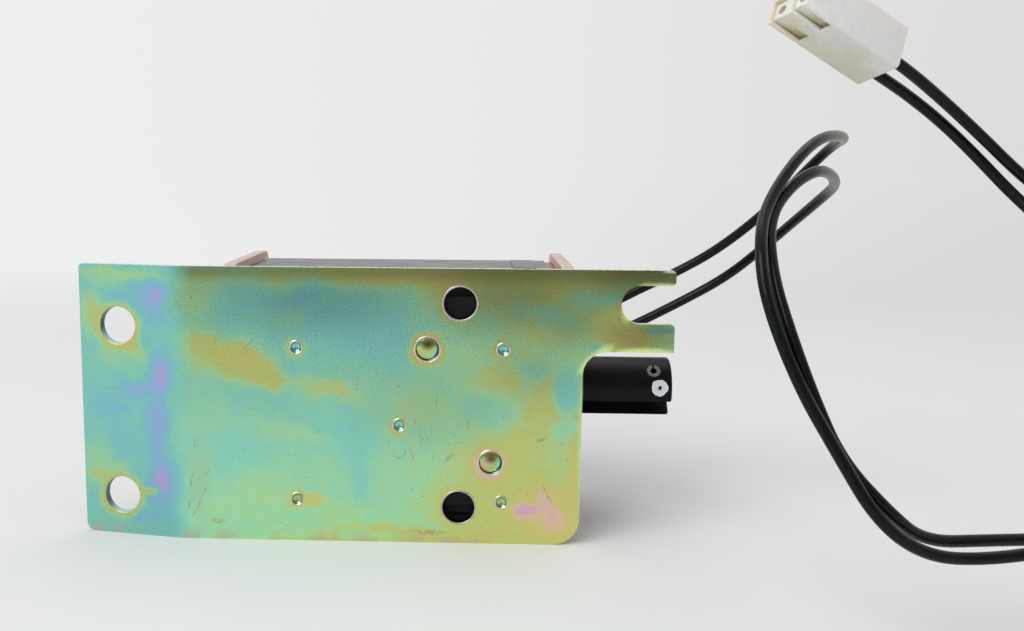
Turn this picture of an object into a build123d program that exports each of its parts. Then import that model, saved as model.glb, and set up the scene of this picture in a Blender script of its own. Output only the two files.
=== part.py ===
"""Pull solenoid of a refrigerator dispenser, in millimetres.

X runs along the plunger, Y goes from the face of the mounting plate back into
the coil, and Z is up. The plate stands on its lower edge, at Z = 0.
"""
from build123d import *
import math
import os

# Mounting plate
plate_thickness = 1.5
plate_height = 50.0
bend_x = -38.7
bend_radius = 6.0
flap_length = 19.5
flap_angle = 10.6
flap_top_corner = 0.8
flap_low_corner = 1.8
flap_hole_diameter = 6.8
flap_hole_reach = 12.1
flap_hole_high_drop = 11.04
flap_hole_low_z = 7.38
low_corner_radius = 4.9
plate_edge_roll = 0.45
hole_edge_roll = 0.2

# Fork at the right of the plate
fork_tip_x = 49.0
fork_slot_width = 6.8
fork_slot_floor_x = 39.6
fork_slot_drop = 6.1
fork_low_edge_drop = 14.54
neck_radius = 4.2
prong_tip_radius = 0.8

# Marks of the press tool in the plate
sight_hole_diameter = 5.75
sight_hole_x = 11.3
sight_hole_high_drop = 6.15
sight_hole_low_z = 6.68
dent_diameter = 2.2
dent_depth = 0.45
dent_center_x = 0.53
dent_center_z = 21.69
dent_half_span_x = 18.48
dent_half_span_z = 13.96
boss_diameter = 4.2
boss_height = 0.7
boss_clearance = 0.15
boss_places = [(5.52, 35.57), (17.0, 15.03)]

# Steel frame round the coil
frame_length = 66.2
frame_height = 38.0
frame_depth = 32.0
frame_thickness = 1.6
frame_bend_radius = 1.5
wall_corner_radius = 4.0

# Plunger axis
axis_y = 19.2
axis_z = 25.8

# Coil former
seat_clearance = 0.1
flange_thickness = 2.2
flange_height = 48.8
flange_far_y = 36.5
flange_near_gap = 0.35
flange_far_radius = 3.0
flange_near_radius = 1.0
former_width = 15.6
former_corner = 1.6
fit_clearance = 0.05

# Winding and its tape
winding_height = 45.9
winding_depth = 29.3
winding_corner = 5.0
tape_thickness = 0.35
tape_end_gap = 1.6
tab_width = 4.2
tab_inset = 4.6
tab_depth = 17.0
tab_thickness = 0.2
insulator_thickness = 0.3
insulator_length = 58.0
insulator_height = 42.0

# Guide tube and fixed core
plunger_diameter = 11.1
plunger_clearance = 0.25
tube_wall = 0.7
tube_proud = 1.5
retainer_diameter = 15.0
retainer_thickness = 0.8
core_length = 25.0
core_clearance = 0.1
shank_diameter = 6.0
washer_diameter = 11.0
washer_thickness = 0.6
rivet_diameter = 9.0
rivet_height = 1.5
ring_outer_diameter = 9.4
ring_inner_diameter = 6.8
ring_depth = 2.0

# Plunger and its pin
plunger_gap = 0.3
plunger_reach = 18.4
plunger_end_round = 0.5
plunger_turn = 42.0
link_slot_width = 4.8
link_slot_depth = 20.0
pin_diameter = 2.6
pin_bore = 1.2
pin_slit = 0.35
pin_inset = 3.45
pin_recess = 0.1

# Leads, where they leave the coil
lead_diameter = 1.8
lead_hole_clearance = 0.3
lead_exit_y = 28.6
lead_exit_high_z = 37.0
lead_exit_low_z = 31.2
grommet_margin = 1.4
grommet_lip = 0.6
grommet_lip_thickness = 1.0

# Connector on the leads
housing_length = 18.8
housing_width = 8.5
housing_height = 7.5
housing_edge = 0.7
contact_pitch = 4.5
cavity_width = 3.2
cavity_height = 3.6
cavity_drop = 1.35
entry_length = 2.0
window_length = 5.8
window_width = 2.2
contact_length = 16.2
contact_size = 2.8
contact_bore = 1.5
contact_wall_gap = 0.2
housing_origin = (76.31, -16.545, 85.14)
housing_axis = (-0.8395, -0.3012, 0.4522)
housing_side = (0.4487, -0.8537, 0.2644)


# Free part of each lead, from the grommet to the connector
lead_straight = 5.9
lead_stub = 3.5
lead_a_free = [
    (44.4, 28.6, 42.3), (53.7, 28.8, 46.8), (61.2, 26.1, 51.6), (68.6, 21.4, 58.7),
    (73.0, 14.7, 65.6), (76.8, 7.2, 71.9), (76.3, -2.8, 73.2), (69.9, -10.6, 73.3),
    (63.4, -18.5, 69.5), (57.1, -25.9, 62.3), (54.6, -33.2, 56.8), (55.1, -36.5, 49.0),
    (59.4, -39.4, 37.6), (64.1, -42.5, 29.0), (69.3, -45.7, 19.8), (76.6, -44.6, 14.8),
    (85.4, -42.6, 13.8), (95.6, -43.2, 15.7), (104.8, -41.4, 20.1), (111.5, -37.6, 27.3),
    (115.6, -33.3, 36.2), (116.4, -28.8, 45.4), (114.5, -24.4, 52.6), (110.0, -20.3, 58.2),
    (104.7, -16.9, 62.5), (99.3, -14.3, 67.5), (93.8, -14.1, 72.7), (87.3, -15.4, 77.9),
]
lead_b_free = [
    (44.7, 28.0, 35.8), (54.3, 27.8, 40.8), (63.4, 26.3, 46.3), (68.9, 20.8, 52.5),
    (72.0, 12.7, 57.8), (74.3, 4.0, 62.5), (74.5, -5.1, 65.6), (69.1, -12.8, 68.1),
    (62.5, -19.7, 65.4), (57.7, -25.6, 60.5), (56.7, -32.7, 52.9), (58.7, -36.7, 44.5),
    (61.9, -38.4, 35.7), (65.4, -40.9, 27.3), (71.2, -44.1, 20.9), (77.7, -40.8, 15.6),
    (88.0, -38.0, 15.1), (98.5, -36.0, 14.8), (106.5, -33.5, 21.4), (110.4, -31.1, 31.0),
    (110.4, -28.8, 41.4), (108.7, -26.0, 49.7), (105.4, -22.3, 55.6), (101.8, -18.3, 59.9),
    (97.7, -15.0, 64.7), (93.1, -12.9, 70.2), (87.7, -12.2, 75.4), (82.0, -12.8, 79.5),
]

# Sizes that follow from the ones above
frame_half = frame_length / 2
plate_right_x = frame_half
flap_hole_high_z = plate_height - flap_hole_high_drop
sight_hole_high_z = plate_height - sight_hole_high_drop
fork_slot_z = plate_height - fork_slot_drop
fork_low_edge_z = plate_height - fork_low_edge_drop
wall_inner_x = frame_half - frame_thickness
flange_outer_x = wall_inner_x - seat_clearance
flange_inner_x = flange_outer_x - flange_thickness
frame_near_y = plate_thickness
coil_near_y = frame_near_y + frame_thickness
tube_inner_diameter = plunger_diameter + 2 * plunger_clearance
tube_outer_diameter = tube_inner_diameter + 2 * tube_wall
core_diameter = tube_inner_diameter - 2 * core_clearance
core_face_x = -wall_inner_x + core_length
plunger_inner_x = core_face_x + plunger_gap
plunger_outer_x = plate_right_x + plunger_reach
winding_half = flange_inner_x - seat_clearance
winding_top_z = axis_z + winding_height / 2
tape_top_z = winding_top_z + tape_thickness
tape_half = flange_inner_x - tape_end_gap
tab_center_x = tape_half - tab_inset

os.makedirs("parts", exist_ok=True)
pieces = {}


def rod_x(diameter, x_from, x_to, y, z):
    """Round bar along X."""
    bar = Cylinder(diameter / 2, x_to - x_from, align=(Align.CENTER, Align.CENTER, Align.MIN))
    return Pos(x_from, y, z) * Rot(0, 90, 0) * bar


def rod_y(diameter, y_from, y_to, x, z):
    """Round bar along Y."""
    bar = Cylinder(diameter / 2, y_to - y_from, align=(Align.CENTER, Align.CENTER, Align.MIN))
    return Pos(x, y_from, z) * Rot(-90, 0, 0) * bar


def block_x(x_from, x_to, depth, height, corner, y, z):
    """Bar along X with a rounded rectangular section."""
    section = Plane.YZ.offset(x_from) * Pos(y, z) * RectangleRounded(depth, height, corner)
    return extrude(section, x_to - x_from, dir=(1, 0, 0))


def bent_strip(points, bend, thickness, height, z):
    """Strip standing on edge, bent along a route seen from above."""
    route = FilletPolyline(*points, radius=bend)
    section = Plane(route @ 0, x_dir=(0, 0, 1), z_dir=route % 0) * Rectangle(height, thickness)
    return Pos(0, 0, z) * sweep(section, path=route)


# Mounting plate
flap_turn = math.radians(flap_angle)
flap_along = Vector(-math.cos(flap_turn), math.sin(flap_turn), 0)
plate_middle_y = plate_thickness / 2
flap_middle = Vector(bend_x, plate_middle_y, 0) + flap_along * flap_length
plate_route = [
    (flap_middle.X, flap_middle.Y, 0),
    (bend_x, plate_middle_y, 0),
    (fork_tip_x, plate_middle_y, 0),
]
plate = bent_strip(plate_route, bend_radius, plate_thickness, plate_height, plate_height / 2)
flap_edges = [e for e in plate.edges().filter_by(GeomType.LINE)
              if abs(e.length - plate_thickness) < 0.01 and e.center().X < bend_x - flap_length / 2]
high_edge = [e for e in flap_edges if e.center().Z > plate_height / 2]
plate = fillet(high_edge, flap_top_corner)
flap_edges = [e for e in plate.edges().filter_by(GeomType.LINE)
              if abs(e.length - plate_thickness) < 0.01 and e.center().X < bend_x - flap_length / 2]
low_edge = [e for e in flap_edges if e.center().Z < flap_low_corner]
plate = fillet(low_edge, flap_low_corner)

# Step under the fork, with its two corner radii
step_outline = Plane.XZ * make_face(Polyline(
    (plate_right_x, -1), (plate_right_x, fork_low_edge_z),
    (fork_tip_x + 1, fork_low_edge_z), (fork_tip_x + 1, -1), close=True))
step = extrude(step_outline, -plate_thickness - 2)
plate = plate - Pos(0, -1, 0) * step


def upright_edge(solid, x, z):
    """Edges of a plate that run along Y at one place of its outline."""
    found = []
    for e in solid.edges().filter_by(Axis.Y):
        middle = e.center()
        if abs(middle.X - x) < 0.01 and abs(middle.Z - z) < 0.01:
            found.append(e)
    return found


plate = fillet(upright_edge(plate, plate_right_x, fork_low_edge_z), neck_radius)
plate = fillet(upright_edge(plate, plate_right_x, 0), low_corner_radius)

# Open slot of the fork
slot_radius = fork_slot_width / 2
slot_round_x = fork_slot_floor_x + slot_radius
slot_round = rod_y(fork_slot_width, -1, plate_thickness + 1, slot_round_x, fork_slot_z)
slot_run_length = fork_tip_x + 1 - slot_round_x
slot_run = Pos(slot_round_x + slot_run_length / 2, plate_middle_y, fork_slot_z) * Box(
    slot_run_length, plate_thickness + 2, fork_slot_width)
plate = plate - slot_round - slot_run
for corner_z in (plate_height, fork_slot_z + slot_radius, fork_slot_z - slot_radius):
    plate = fillet(upright_edge(plate, fork_tip_x, corner_z), prong_tip_radius)

# Fixing holes in the flap, square to the flap
flap_normal = Vector(-flap_along.Y, flap_along.X, 0)
flap_holes = []
for hole_z in (flap_hole_high_z, flap_hole_low_z):
    center = Vector(bend_x, plate_middle_y, hole_z) + flap_along * flap_hole_reach
    drill = Plane(center, x_dir=(0, 0, 1), z_dir=flap_normal) * Cylinder(
        flap_hole_diameter / 2, plate_thickness * 3)
    flap_holes.append(center)
    plate = plate - drill

# Two through holes, five dents over the joints and two pushed-through bosses
for hole_z in (sight_hole_high_z, sight_hole_low_z):
    plate = plate - rod_y(sight_hole_diameter, -1, plate_thickness + 1, sight_hole_x, hole_z)
dent_places = [(dent_center_x, dent_center_z)]
for side in (-1, 1):
    for rise in (-1, 1):
        dent_places.append((dent_center_x + side * dent_half_span_x,
                            dent_center_z + rise * dent_half_span_z))
dent = Cone(dent_diameter / 2, dent_diameter / 4, dent_depth,
            align=(Align.CENTER, Align.CENTER, Align.MIN))
for dent_x, dent_z in dent_places:
    plate = plate - Pos(dent_x, 0, dent_z) * Rot(-90, 0, 0) * dent
for boss_x, boss_z in boss_places:
    plate = plate - rod_y(boss_diameter, -1, boss_height, boss_x, boss_z)
    plate = plate + rod_y(boss_diameter, plate_thickness - 0.1,
                          plate_thickness + boss_height, boss_x, boss_z)
# Front edges rolled over by the press tool, round the outline and less round the holes
boss_area = math.pi * boss_diameter ** 2 / 4
skins = [face for face in plate.faces()
         if face.normal_at().Y < -0.9 and face.area > 1.2 * boss_area]
outline = []
hole_rims = []
for face in skins:
    others = [edge.center() for other in skins if other is not face for edge in other.edges()]
    for edge in face.outer_wire().edges():
        if all((edge.center() - middle).length > 0.01 for middle in others):
            outline.append(edge)
    for wire in face.inner_wires():
        if wire.length > math.pi * (boss_diameter + sight_hole_diameter) / 2:
            hole_rims += wire.edges()
plate = fillet(outline, plate_edge_roll)
plate = fillet(hole_rims, hole_edge_roll)
pieces["mounting_plate"] = plate

# Steel frame: a back and two end walls
frame_middle = frame_thickness / 2
wall_x = frame_half - frame_middle
frame_back_y = frame_near_y + frame_middle
frame_route = [
    (-wall_x, frame_near_y + frame_depth, 0),
    (-wall_x, frame_back_y, 0),
    (wall_x, frame_back_y, 0),
    (wall_x, frame_near_y + frame_depth, 0),
]
frame = bent_strip(frame_route, frame_bend_radius, frame_thickness, frame_height, axis_z)
wall_tips = [e for e in frame.edges().filter_by(Axis.X)
             if abs(e.length - frame_thickness) < 0.01
             and e.center().Y > frame_near_y + frame_depth - 0.01]
frame = fillet(wall_tips, wall_corner_radius)
for boss_x, boss_z in boss_places:
    frame = frame - rod_y(boss_diameter + 2 * boss_clearance, frame_near_y - 1,
                          coil_near_y + 1, boss_x, boss_z)
frame = frame - rod_x(tube_outer_diameter + 2 * fit_clearance, wall_inner_x - 1,
                      frame_half + 1, axis_y, axis_z)
frame = frame - rod_x(shank_diameter + 2 * fit_clearance, -frame_half - 1,
                      -wall_inner_x + 1, axis_y, axis_z)
grommet_width = lead_diameter + 2 * grommet_margin
grommet_height = abs(lead_exit_high_z - lead_exit_low_z) + grommet_width
grommet_z = (lead_exit_high_z + lead_exit_low_z) / 2
frame = frame - block_x(wall_inner_x - 1, frame_half + 1, grommet_width + 2 * fit_clearance,
                        grommet_height + 2 * fit_clearance, grommet_width / 2 - 0.01,
                        lead_exit_y, grommet_z)
pieces["field_frame"] = frame

# Coil former: a square tube with a round bore
former = block_x(-flange_outer_x, flange_outer_x, former_width, former_width,
                 former_corner, axis_y, axis_z)
former = former - rod_x(tube_outer_diameter + 2 * fit_clearance, -frame_half, frame_half,
                        axis_y, axis_z)
pieces["coil_former"] = former

# End flanges, pressed over the former
flange_near_y = coil_near_y + flange_near_gap
flange_depth = flange_far_y - flange_near_y
flange_sketch = Pos(flange_near_y + flange_depth / 2, axis_z) * Rectangle(
    flange_depth, flange_height)
far_corners = [v for v in flange_sketch.vertices() if v.X > axis_y]
flange_sketch = fillet(far_corners, flange_far_radius)
near_corners = [v for v in flange_sketch.vertices() if abs(v.X - flange_near_y) < 0.01]
flange_sketch = fillet(near_corners, flange_near_radius)
former_hole = Pos(axis_y, axis_z) * RectangleRounded(
    former_width + 2 * fit_clearance, former_width + 2 * fit_clearance, former_corner)
flange_sketch = flange_sketch - former_hole
flange = extrude(Plane.YZ.offset(flange_inner_x) * flange_sketch, flange_thickness, dir=(1, 0, 0))
pieces["left_flange"] = mirror(flange, about=Plane.YZ)
lead_hole_diameter = lead_diameter + lead_hole_clearance
right_flange = flange
for exit_z in (lead_exit_high_z, lead_exit_low_z):
    right_flange = right_flange - rod_x(lead_hole_diameter, flange_inner_x - 1,
                                        flange_outer_x + 1, lead_exit_y, exit_z)
pieces["right_flange"] = right_flange

# Winding, its tape, the tape's end tab and the paper behind it
former_clear = former_width + 2 * fit_clearance
winding = block_x(-winding_half, winding_half, winding_depth, winding_height,
                  winding_corner, axis_y, axis_z)
winding = winding - block_x(-winding_half - 1, winding_half + 1, former_clear, former_clear,
                            former_corner, axis_y, axis_z)
pieces["coil_winding"] = winding
tape = block_x(-tape_half, tape_half, winding_depth + 2 * tape_thickness,
               winding_height + 2 * tape_thickness, winding_corner + tape_thickness,
               axis_y, axis_z)
tape = tape - block_x(-tape_half - 1, tape_half + 1, winding_depth, winding_height,
                      winding_corner, axis_y, axis_z)
pieces["coil_tape"] = tape
pieces["tape_tab"] = Pos(tab_center_x, axis_y, tape_top_z + tab_thickness / 2) * Box(
    tab_width, tab_depth, tab_thickness)
insulator_y = coil_near_y + insulator_thickness / 2
pieces["frame_insulator"] = Pos(0, insulator_y, axis_z) * Box(
    insulator_length, insulator_thickness, insulator_height)

# Guide tube and its retaining ring outside the right wall
tube_end_x = frame_half + tube_proud
tube = rod_x(tube_outer_diameter, -flange_outer_x, tube_end_x, axis_y, axis_z)
tube = tube - rod_x(tube_inner_diameter, -frame_half, tube_end_x + 1, axis_y, axis_z)
pieces["guide_tube"] = tube
retainer = rod_x(retainer_diameter, frame_half, frame_half + retainer_thickness, axis_y, axis_z)
retainer = retainer - rod_x(tube_outer_diameter, frame_half - 1, tube_end_x + 1, axis_y, axis_z)
pieces["tube_retainer"] = retainer

# Fixed core, riveted to the left wall over a washer
core = rod_x(core_diameter, -wall_inner_x, core_face_x, axis_y, axis_z)
ring_groove = rod_x(ring_outer_diameter, core_face_x - ring_depth, core_face_x + 1,
                    axis_y, axis_z)
ring_groove = ring_groove - rod_x(ring_inner_diameter, core_face_x - ring_depth - 1,
                                  core_face_x + 2, axis_y, axis_z)
core = core - ring_groove
shank_end_x = -frame_half - washer_thickness
core = core + rod_x(shank_diameter, shank_end_x - 0.1, -wall_inner_x + 0.1, axis_y, axis_z)
rivet = rod_x(rivet_diameter, shank_end_x - rivet_height, shank_end_x, axis_y, axis_z)
rivet = fillet(rivet.edges().sort_by(Axis.X)[0], rivet_height * 0.6)
core = core + rivet
pieces["fixed_core"] = core
shading_ring = rod_x(ring_outer_diameter, core_face_x - ring_depth, core_face_x,
                     axis_y, axis_z)
shading_ring = shading_ring - rod_x(ring_inner_diameter, core_face_x - ring_depth - 1,
                                    core_face_x + 1, axis_y, axis_z)
pieces["shading_ring"] = shading_ring
washer = rod_x(washer_diameter, -frame_half - washer_thickness, -frame_half, axis_y, axis_z)
washer = washer - rod_x(shank_diameter + 2 * fit_clearance, -frame_half - 2, -frame_half + 1,
                        axis_y, axis_z)
pieces["core_washer"] = washer

# Plunger with its link slot, and the spring pin across the slot
plunger = rod_x(plunger_diameter, plunger_inner_x, plunger_outer_x, axis_y, axis_z)
end_edges = plunger.edges().filter_by(GeomType.CIRCLE).sort_by(Axis.X)
plunger = fillet([end_edges[0], end_edges[-1]], plunger_end_round)
turned = Pos(0, axis_y, axis_z) * Rot(-plunger_turn, 0, 0)
slot_middle_x = plunger_outer_x - link_slot_depth / 2 + 1
link_slot = Pos(slot_middle_x, 0, 0) * Box(
    link_slot_depth + 2, link_slot_width, plunger_diameter + 2)
plunger = plunger - turned * link_slot
pin_x = plunger_outer_x - pin_inset
pin_length = plunger_diameter - 2 * pin_recess
pin_place = turned * Pos(pin_x, 0, 0) * Rot(90, 0, 0)
plunger = plunger - pin_place * Cylinder(pin_diameter / 2, plunger_diameter + 2)
pieces["plunger"] = plunger
pin = Cylinder(pin_diameter / 2, pin_length) - Cylinder(pin_bore / 2, pin_length + 2)
slit_reach = (pin_diameter + pin_bore) / 4
pin = pin - Pos(0, slit_reach, 0) * Box(pin_slit, pin_diameter / 2, pin_length + 2)
pieces["spring_pin"] = pin_place * pin

# Grommet that carries the two leads through the right wall
grommet = block_x(wall_inner_x, frame_half, grommet_width, grommet_height,
                  grommet_width / 2 - 0.01, lead_exit_y, grommet_z)
lip_width = grommet_width + 2 * grommet_lip
lip_height = grommet_height + 2 * grommet_lip
grommet = grommet + block_x(frame_half, frame_half + grommet_lip_thickness, lip_width,
                            lip_height, lip_width / 2 - 0.01, lead_exit_y, grommet_z)
for exit_z in (lead_exit_high_z, lead_exit_low_z):
    grommet = grommet - rod_x(lead_diameter, wall_inner_x - 1,
                              frame_half + grommet_lip_thickness + 1, lead_exit_y, exit_z)
pieces["lead_grommet"] = grommet

# Connector: a housing with two cavities and a contact in each
housing_plane = Plane(housing_origin, x_dir=housing_side, z_dir=housing_axis)
housing = Pos(0, 0, housing_length / 2) * Box(housing_width, housing_height, housing_length)
housing = fillet(housing.edges().filter_by(Axis.Z), housing_edge)
contact_start = entry_length
for side in (-1, 1):
    contact_x = side * contact_pitch / 2
    cavity_length = housing_length - entry_length
    cavity = Pos(contact_x, -cavity_drop, entry_length + cavity_length / 2 + 0.5) * Box(
        cavity_width, cavity_height, cavity_length + 1)
    entry = Pos(contact_x, -cavity_drop, entry_length / 2) * Cylinder(lead_hole_diameter / 2,
                                                           entry_length + 2)
    window_z = housing_length - window_length / 2 + 0.5
    window = Pos(contact_x, -housing_height / 2, window_z) * Box(
        window_width, housing_height - cavity_height, window_length + 1)
    housing = housing - cavity - entry - window
    contact_width = cavity_width - 2 * contact_wall_gap
    contact = Pos(contact_x, -cavity_drop, contact_start + contact_length / 2) * Box(
        contact_width, contact_size, contact_length)
    mouth_depth = contact_length / 2
    mouth_z = contact_start + contact_length - mouth_depth / 2 + 0.5
    mouth = Pos(contact_x, -cavity_drop, mouth_z) * Cylinder(contact_bore / 2, mouth_depth + 1)
    contact = contact - mouth
    name = "contact_a" if side > 0 else "contact_b"
    pieces[name] = housing_plane * contact
pieces["connector_housing"] = housing_plane * housing

# Leads: straight runs joined by tangent arcs, from the winding's end to the contacts
for name, side, exit_z, free_points in (
        ("lead_a", 1, lead_exit_high_z, lead_a_free),
        ("lead_b", -1, lead_exit_low_z, lead_b_free)):
    entry_x = side * contact_pitch / 2
    route = [(winding_half, lead_exit_y, exit_z),
             (winding_half + lead_straight, lead_exit_y, exit_z)]
    route += free_points
    route += [tuple(housing_plane.from_local_coords((entry_x, -cavity_drop, -lead_stub))),
              tuple(housing_plane.from_local_coords((entry_x, -cavity_drop, entry_length)))]
    corners = [Vector(*point) for point in route]
    radii = []
    for before, here, after in zip(corners, corners[1:], corners[2:]):
        turn = math.radians((here - before).get_angle(after - here))
        shorter = min((here - before).length, (after - here).length)
        radii.append(0.45 * shorter / math.tan(turn / 2))
    print(name, "arc radii", [round(r, 1) for r in radii])
    print(name, "route", [tuple(round(v, 2) for v in point) for point in route])
    path = FilletPolyline(*route, radius=radii)
    section = Plane(path @ 0, z_dir=path % 0) * Circle(lead_diameter / 2)
    lead = sweep(section, path=path)
    print(name, "length", round(path.length, 1), "volume ratio",
          round(lead.volume / (path.length * math.pi * lead_diameter ** 2 / 4), 4))
    pieces[name] = lead

# The origin moves to the middle of the base, measured without the leads and their connector
lead_pieces = ("lead_a", "lead_b", "connector_housing", "contact_a", "contact_b")
boxes = [piece.bounding_box() for name, piece in pieces.items() if name not in lead_pieces]
middle_x = (min(b.min.X for b in boxes) + max(b.max.X for b in boxes)) / 2
middle_y = (min(b.min.Y for b in boxes) + max(b.max.Y for b in boxes)) / 2
low_z = min(b.min.Z for b in boxes)
print("origin moved by", round(middle_x, 4), round(middle_y, 4), round(low_z, 4))
for name, piece in pieces.items():
    placed = Pos(-middle_x, -middle_y, -low_z) * piece
    placed.label = name
    export_step(placed, f"parts/{name}.step")
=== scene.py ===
"""Looks of a pull solenoid on a plated mounting plate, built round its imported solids."""

import math

import bmesh
import bpy
from bpy.props import FloatProperty, FloatVectorProperty, PointerProperty
from mathutils import Matrix, Vector


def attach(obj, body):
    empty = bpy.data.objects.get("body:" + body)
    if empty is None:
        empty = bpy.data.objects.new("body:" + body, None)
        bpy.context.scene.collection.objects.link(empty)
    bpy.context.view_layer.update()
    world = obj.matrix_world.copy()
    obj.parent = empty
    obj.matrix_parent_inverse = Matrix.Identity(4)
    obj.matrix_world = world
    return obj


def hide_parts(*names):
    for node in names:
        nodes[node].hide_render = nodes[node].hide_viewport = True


bl_info = {
    "name": "Pull Solenoid",
    "version": (1, 0, 0),
    "blender": (4, 5, 0),
    "location": "3D View > Sidebar > Solenoid",
    "description": "Finishes and small pieces of a pull solenoid, its leads and its studio",
    "category": "Object",
}

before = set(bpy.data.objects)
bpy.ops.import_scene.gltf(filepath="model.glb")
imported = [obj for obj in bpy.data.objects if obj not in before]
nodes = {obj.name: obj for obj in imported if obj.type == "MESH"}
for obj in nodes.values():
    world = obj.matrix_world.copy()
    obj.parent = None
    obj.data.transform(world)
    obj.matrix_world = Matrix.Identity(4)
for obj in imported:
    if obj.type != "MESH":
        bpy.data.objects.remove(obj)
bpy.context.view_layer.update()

MM = 0.001

# Places on the plate's front, in millimetres: X to the right, Z up
PLATE_FRONT_Y = -18.25
BEND_X = -35.46
DENTS = [
    (3.77, 21.69), (-14.71, 7.73), (-14.71, 35.65), (22.25, 7.73), (22.25, 35.65),
]
BOSSES = [(8.76, 35.57), (20.24, 15.03)]
SIGHT_HOLES = [(14.54, 43.85), (14.54, 6.68)]
FLAP_HOLES = [(-47.36, 38.96), (-47.36, 7.38)]

# Plunger and the paint mark on it: middles, radii and thickness, in millimetres
PLUNGER_Y = 0.95
PLUNGER_Z = 25.8
PLUNGER_RADIUS = 5.55
PAINT_MIDDLE = (52.35, -6.2, 26.4)
PAINT_RADIUS = 1.55
PAINT_THICKNESS = 0.06
PAINT_LIFT = 0.01

# Plug: the way its mouth faces, and the way from its warmer shaded side to its paler lit side,
# along which shade is painted
MOUTH_WAY = (-0.8395, -0.3012, 0.4522)
LIT_SIDE_WAY = (0.45, -0.85, 0.26)

# Camera: its lens in millimetres, its place in metres, and its own three axes
LENS = 39.375
LENS_SHIFT = 0.0801
CAMERA_PLACE = (0.016388, -0.214397, 0.068294)
CAMERA_RIGHT = (0.99928, 0.03748, 0.0062)
CAMERA_AHEAD = (-0.03631, 0.99025, -0.13449)
CAMERA_UP = (-0.01118, 0.13417, 0.9909)

# Route of each lead, and where the leads leave the grommet, in millimetres
LEAD_A = [
    (32.34, 10.35, 37), (38.24, 10.35, 37), (47.64, 10.35, 42.3), (56.94, 10.55, 46.8),
    (64.44, 7.85, 51.6), (71.84, 3.15, 58.7), (76.24, -3.55, 65.6), (80.04, -11.05, 71.9),
    (79.54, -21.05, 73.2), (73.14, -28.85, 73.3), (66.64, -36.75, 69.5), (60.34, -44.15, 62.3),
    (57.84, -51.45, 56.8), (58.34, -54.75, 49), (62.64, -57.65, 37.6), (67.34, -60.75, 29),
    (72.54, -63.95, 19.8), (79.84, -62.85, 14.8), (88.64, -60.85, 13.8), (98.84, -61.45, 15.7),
    (108.04, -59.65, 20.1), (114.74, -55.85, 27.3), (118.84, -51.55, 36.2), (119.64, -47.05, 45.4),
    (117.74, -42.65, 52.6), (113.24, -38.55, 58.2), (107.94, -35.15, 62.5), (102.54, -32.55, 67.5),
    (97.04, -32.35, 72.7), (90.54, -33.65, 77.9), (83.08, -36.24, 83), (78.46, -37.89, 85.49),
]
LEAD_B = [
    (32.34, 10.35, 31.2), (38.24, 10.35, 31.2), (47.94, 9.75, 35.8), (57.54, 9.55, 40.8),
    (66.64, 8.05, 46.3), (72.14, 2.55, 52.5), (75.24, -5.55, 57.8), (77.54, -14.25, 62.5),
    (77.74, -23.35, 65.6), (72.34, -31.05, 68.1), (65.74, -37.95, 65.4), (60.94, -43.85, 60.5),
    (59.94, -50.95, 52.9), (61.94, -54.95, 44.5), (65.14, -56.65, 35.7), (68.64, -59.15, 27.3),
    (74.44, -62.35, 20.9), (80.94, -59.05, 15.6), (91.24, -56.25, 15.1), (101.74, -54.25, 14.8),
    (109.74, -51.75, 21.4), (113.64, -49.35, 31), (113.64, -47.05, 41.4), (111.94, -44.25, 49.7),
    (108.64, -40.55, 55.6), (105.04, -36.55, 59.9), (100.94, -33.25, 64.7), (96.34, -31.15, 70.2),
    (90.94, -30.45, 75.4), (85.24, -31.05, 79.5), (81.06, -32.39, 81.81), (76.44, -34.05, 84.3),
]

# Middle of each tight turn of the leads, in millimetres: a grey highlight is painted on the covers
# there
HIGHLIT_TURNS = [(79.0, -22.0, 73.3), (76.2, -26.0, 66.6)]


def plain(red, green, blue):
    """Shader colour of a colour given as three numbers from 0 to 255."""
    parts = []
    for value in (red, green, blue):
        share = value / 255
        parts.append(share / 12.92 if share <= 0.04045 else ((share + 0.055) / 1.055) ** 2.4)
    return (*parts, 1.0)


class LeadSettings(bpy.types.PropertyGroup):
    """Sizes and colour of the two leads."""
    diameter: FloatProperty(
        name="Diameter", description="Outside diameter of a lead's cover",
        default=0.0018, unit="LENGTH")
    cover: FloatVectorProperty(
        name="Cover", description="Colour of the lead's cover", subtype="COLOR",
        default=(0.0014, 0.0028, 0.003))


class PlateSettings(bpy.types.PropertyGroup):
    """Sizes and colours of the plated plate."""
    rim_width: FloatProperty(
        name="Rim Width", description="Width of the raised rim round a press mark",
        default=0.00036, unit="LENGTH")
    grain: FloatProperty(
        name="Grain", description="Strength of the dark speckle under the top edge",
        default=0.3, min=0.0, max=1.0, subtype="FACTOR")
    top_shade: FloatProperty(
        name="Top Shade", description="Brightness of the plating under the top edge",
        default=0.82, min=0.0, max=1.0, subtype="FACTOR")
    rim_colour: FloatVectorProperty(
        name="Rim", description="Colour of the bare rims", subtype="COLOR",
        default=(0.62, 0.6, 0.58))


class CoilSettings(bpy.types.PropertyGroup):
    """Colour of the coil's end boards."""
    board: FloatVectorProperty(
        name="Boards", description="Colour of the fibre end boards", subtype="COLOR",
        default=(0.66, 0.52, 0.47))


class StageSettings(bpy.types.PropertyGroup):
    """Sizes and colours of the studio."""
    floor_width: FloatProperty(
        name="Floor", description="Width of the floor", default=8.0, unit="LENGTH")
    paper: FloatVectorProperty(
        name="Paper", description="Colour of the floor", subtype="COLOR",
        default=(0.83, 0.83, 0.83))
    front: FloatProperty(
        name="Front", description="Brightness of the room in front, as metal reflects it",
        default=0.32, min=0.0, max=1.0, subtype="FACTOR")


# Node helpers

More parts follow.
